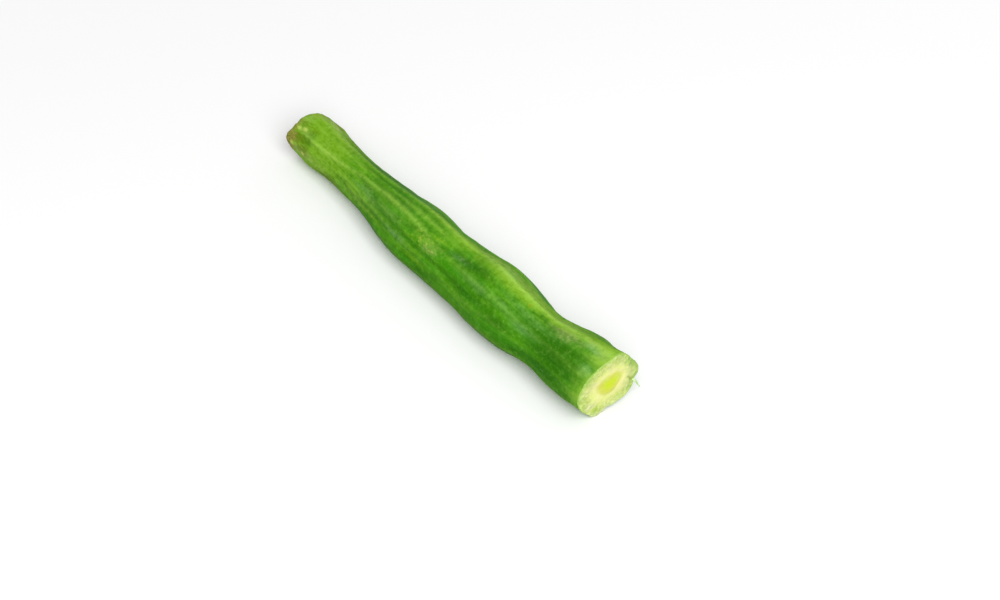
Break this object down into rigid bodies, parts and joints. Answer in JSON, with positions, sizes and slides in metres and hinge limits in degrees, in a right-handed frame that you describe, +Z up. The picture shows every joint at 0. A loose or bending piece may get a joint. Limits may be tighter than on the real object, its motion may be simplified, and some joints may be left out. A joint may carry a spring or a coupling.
{
  "type": "drumstick pod segment",
  "caption": "Cut length of green ribbed drumstick pod, swollen over its seeds, with a fresh cut face at one end and a narrow dried end at the other.",
  "frame": {"origin": "on the table, under the centre of the pod's bounding box", "axes": "+Z up, +X along the pod from its narrow dried end to its fresh cut face"},
  "size_m": [0.1234, 0.0198, 0.0193],
  "materials": {
    "rind": "fresh green plant rind, satin, with lighter ribs and fine lengthwise fibres",
    "cut_flesh": "moist pale yellow-green pith, with a brighter seed in the middle",
    "dried_end": "dry, matt, browned old cut"
  },
  "bodies": {
    "root": {"pod_segment": "rind"}
  },
  "joints": []
}
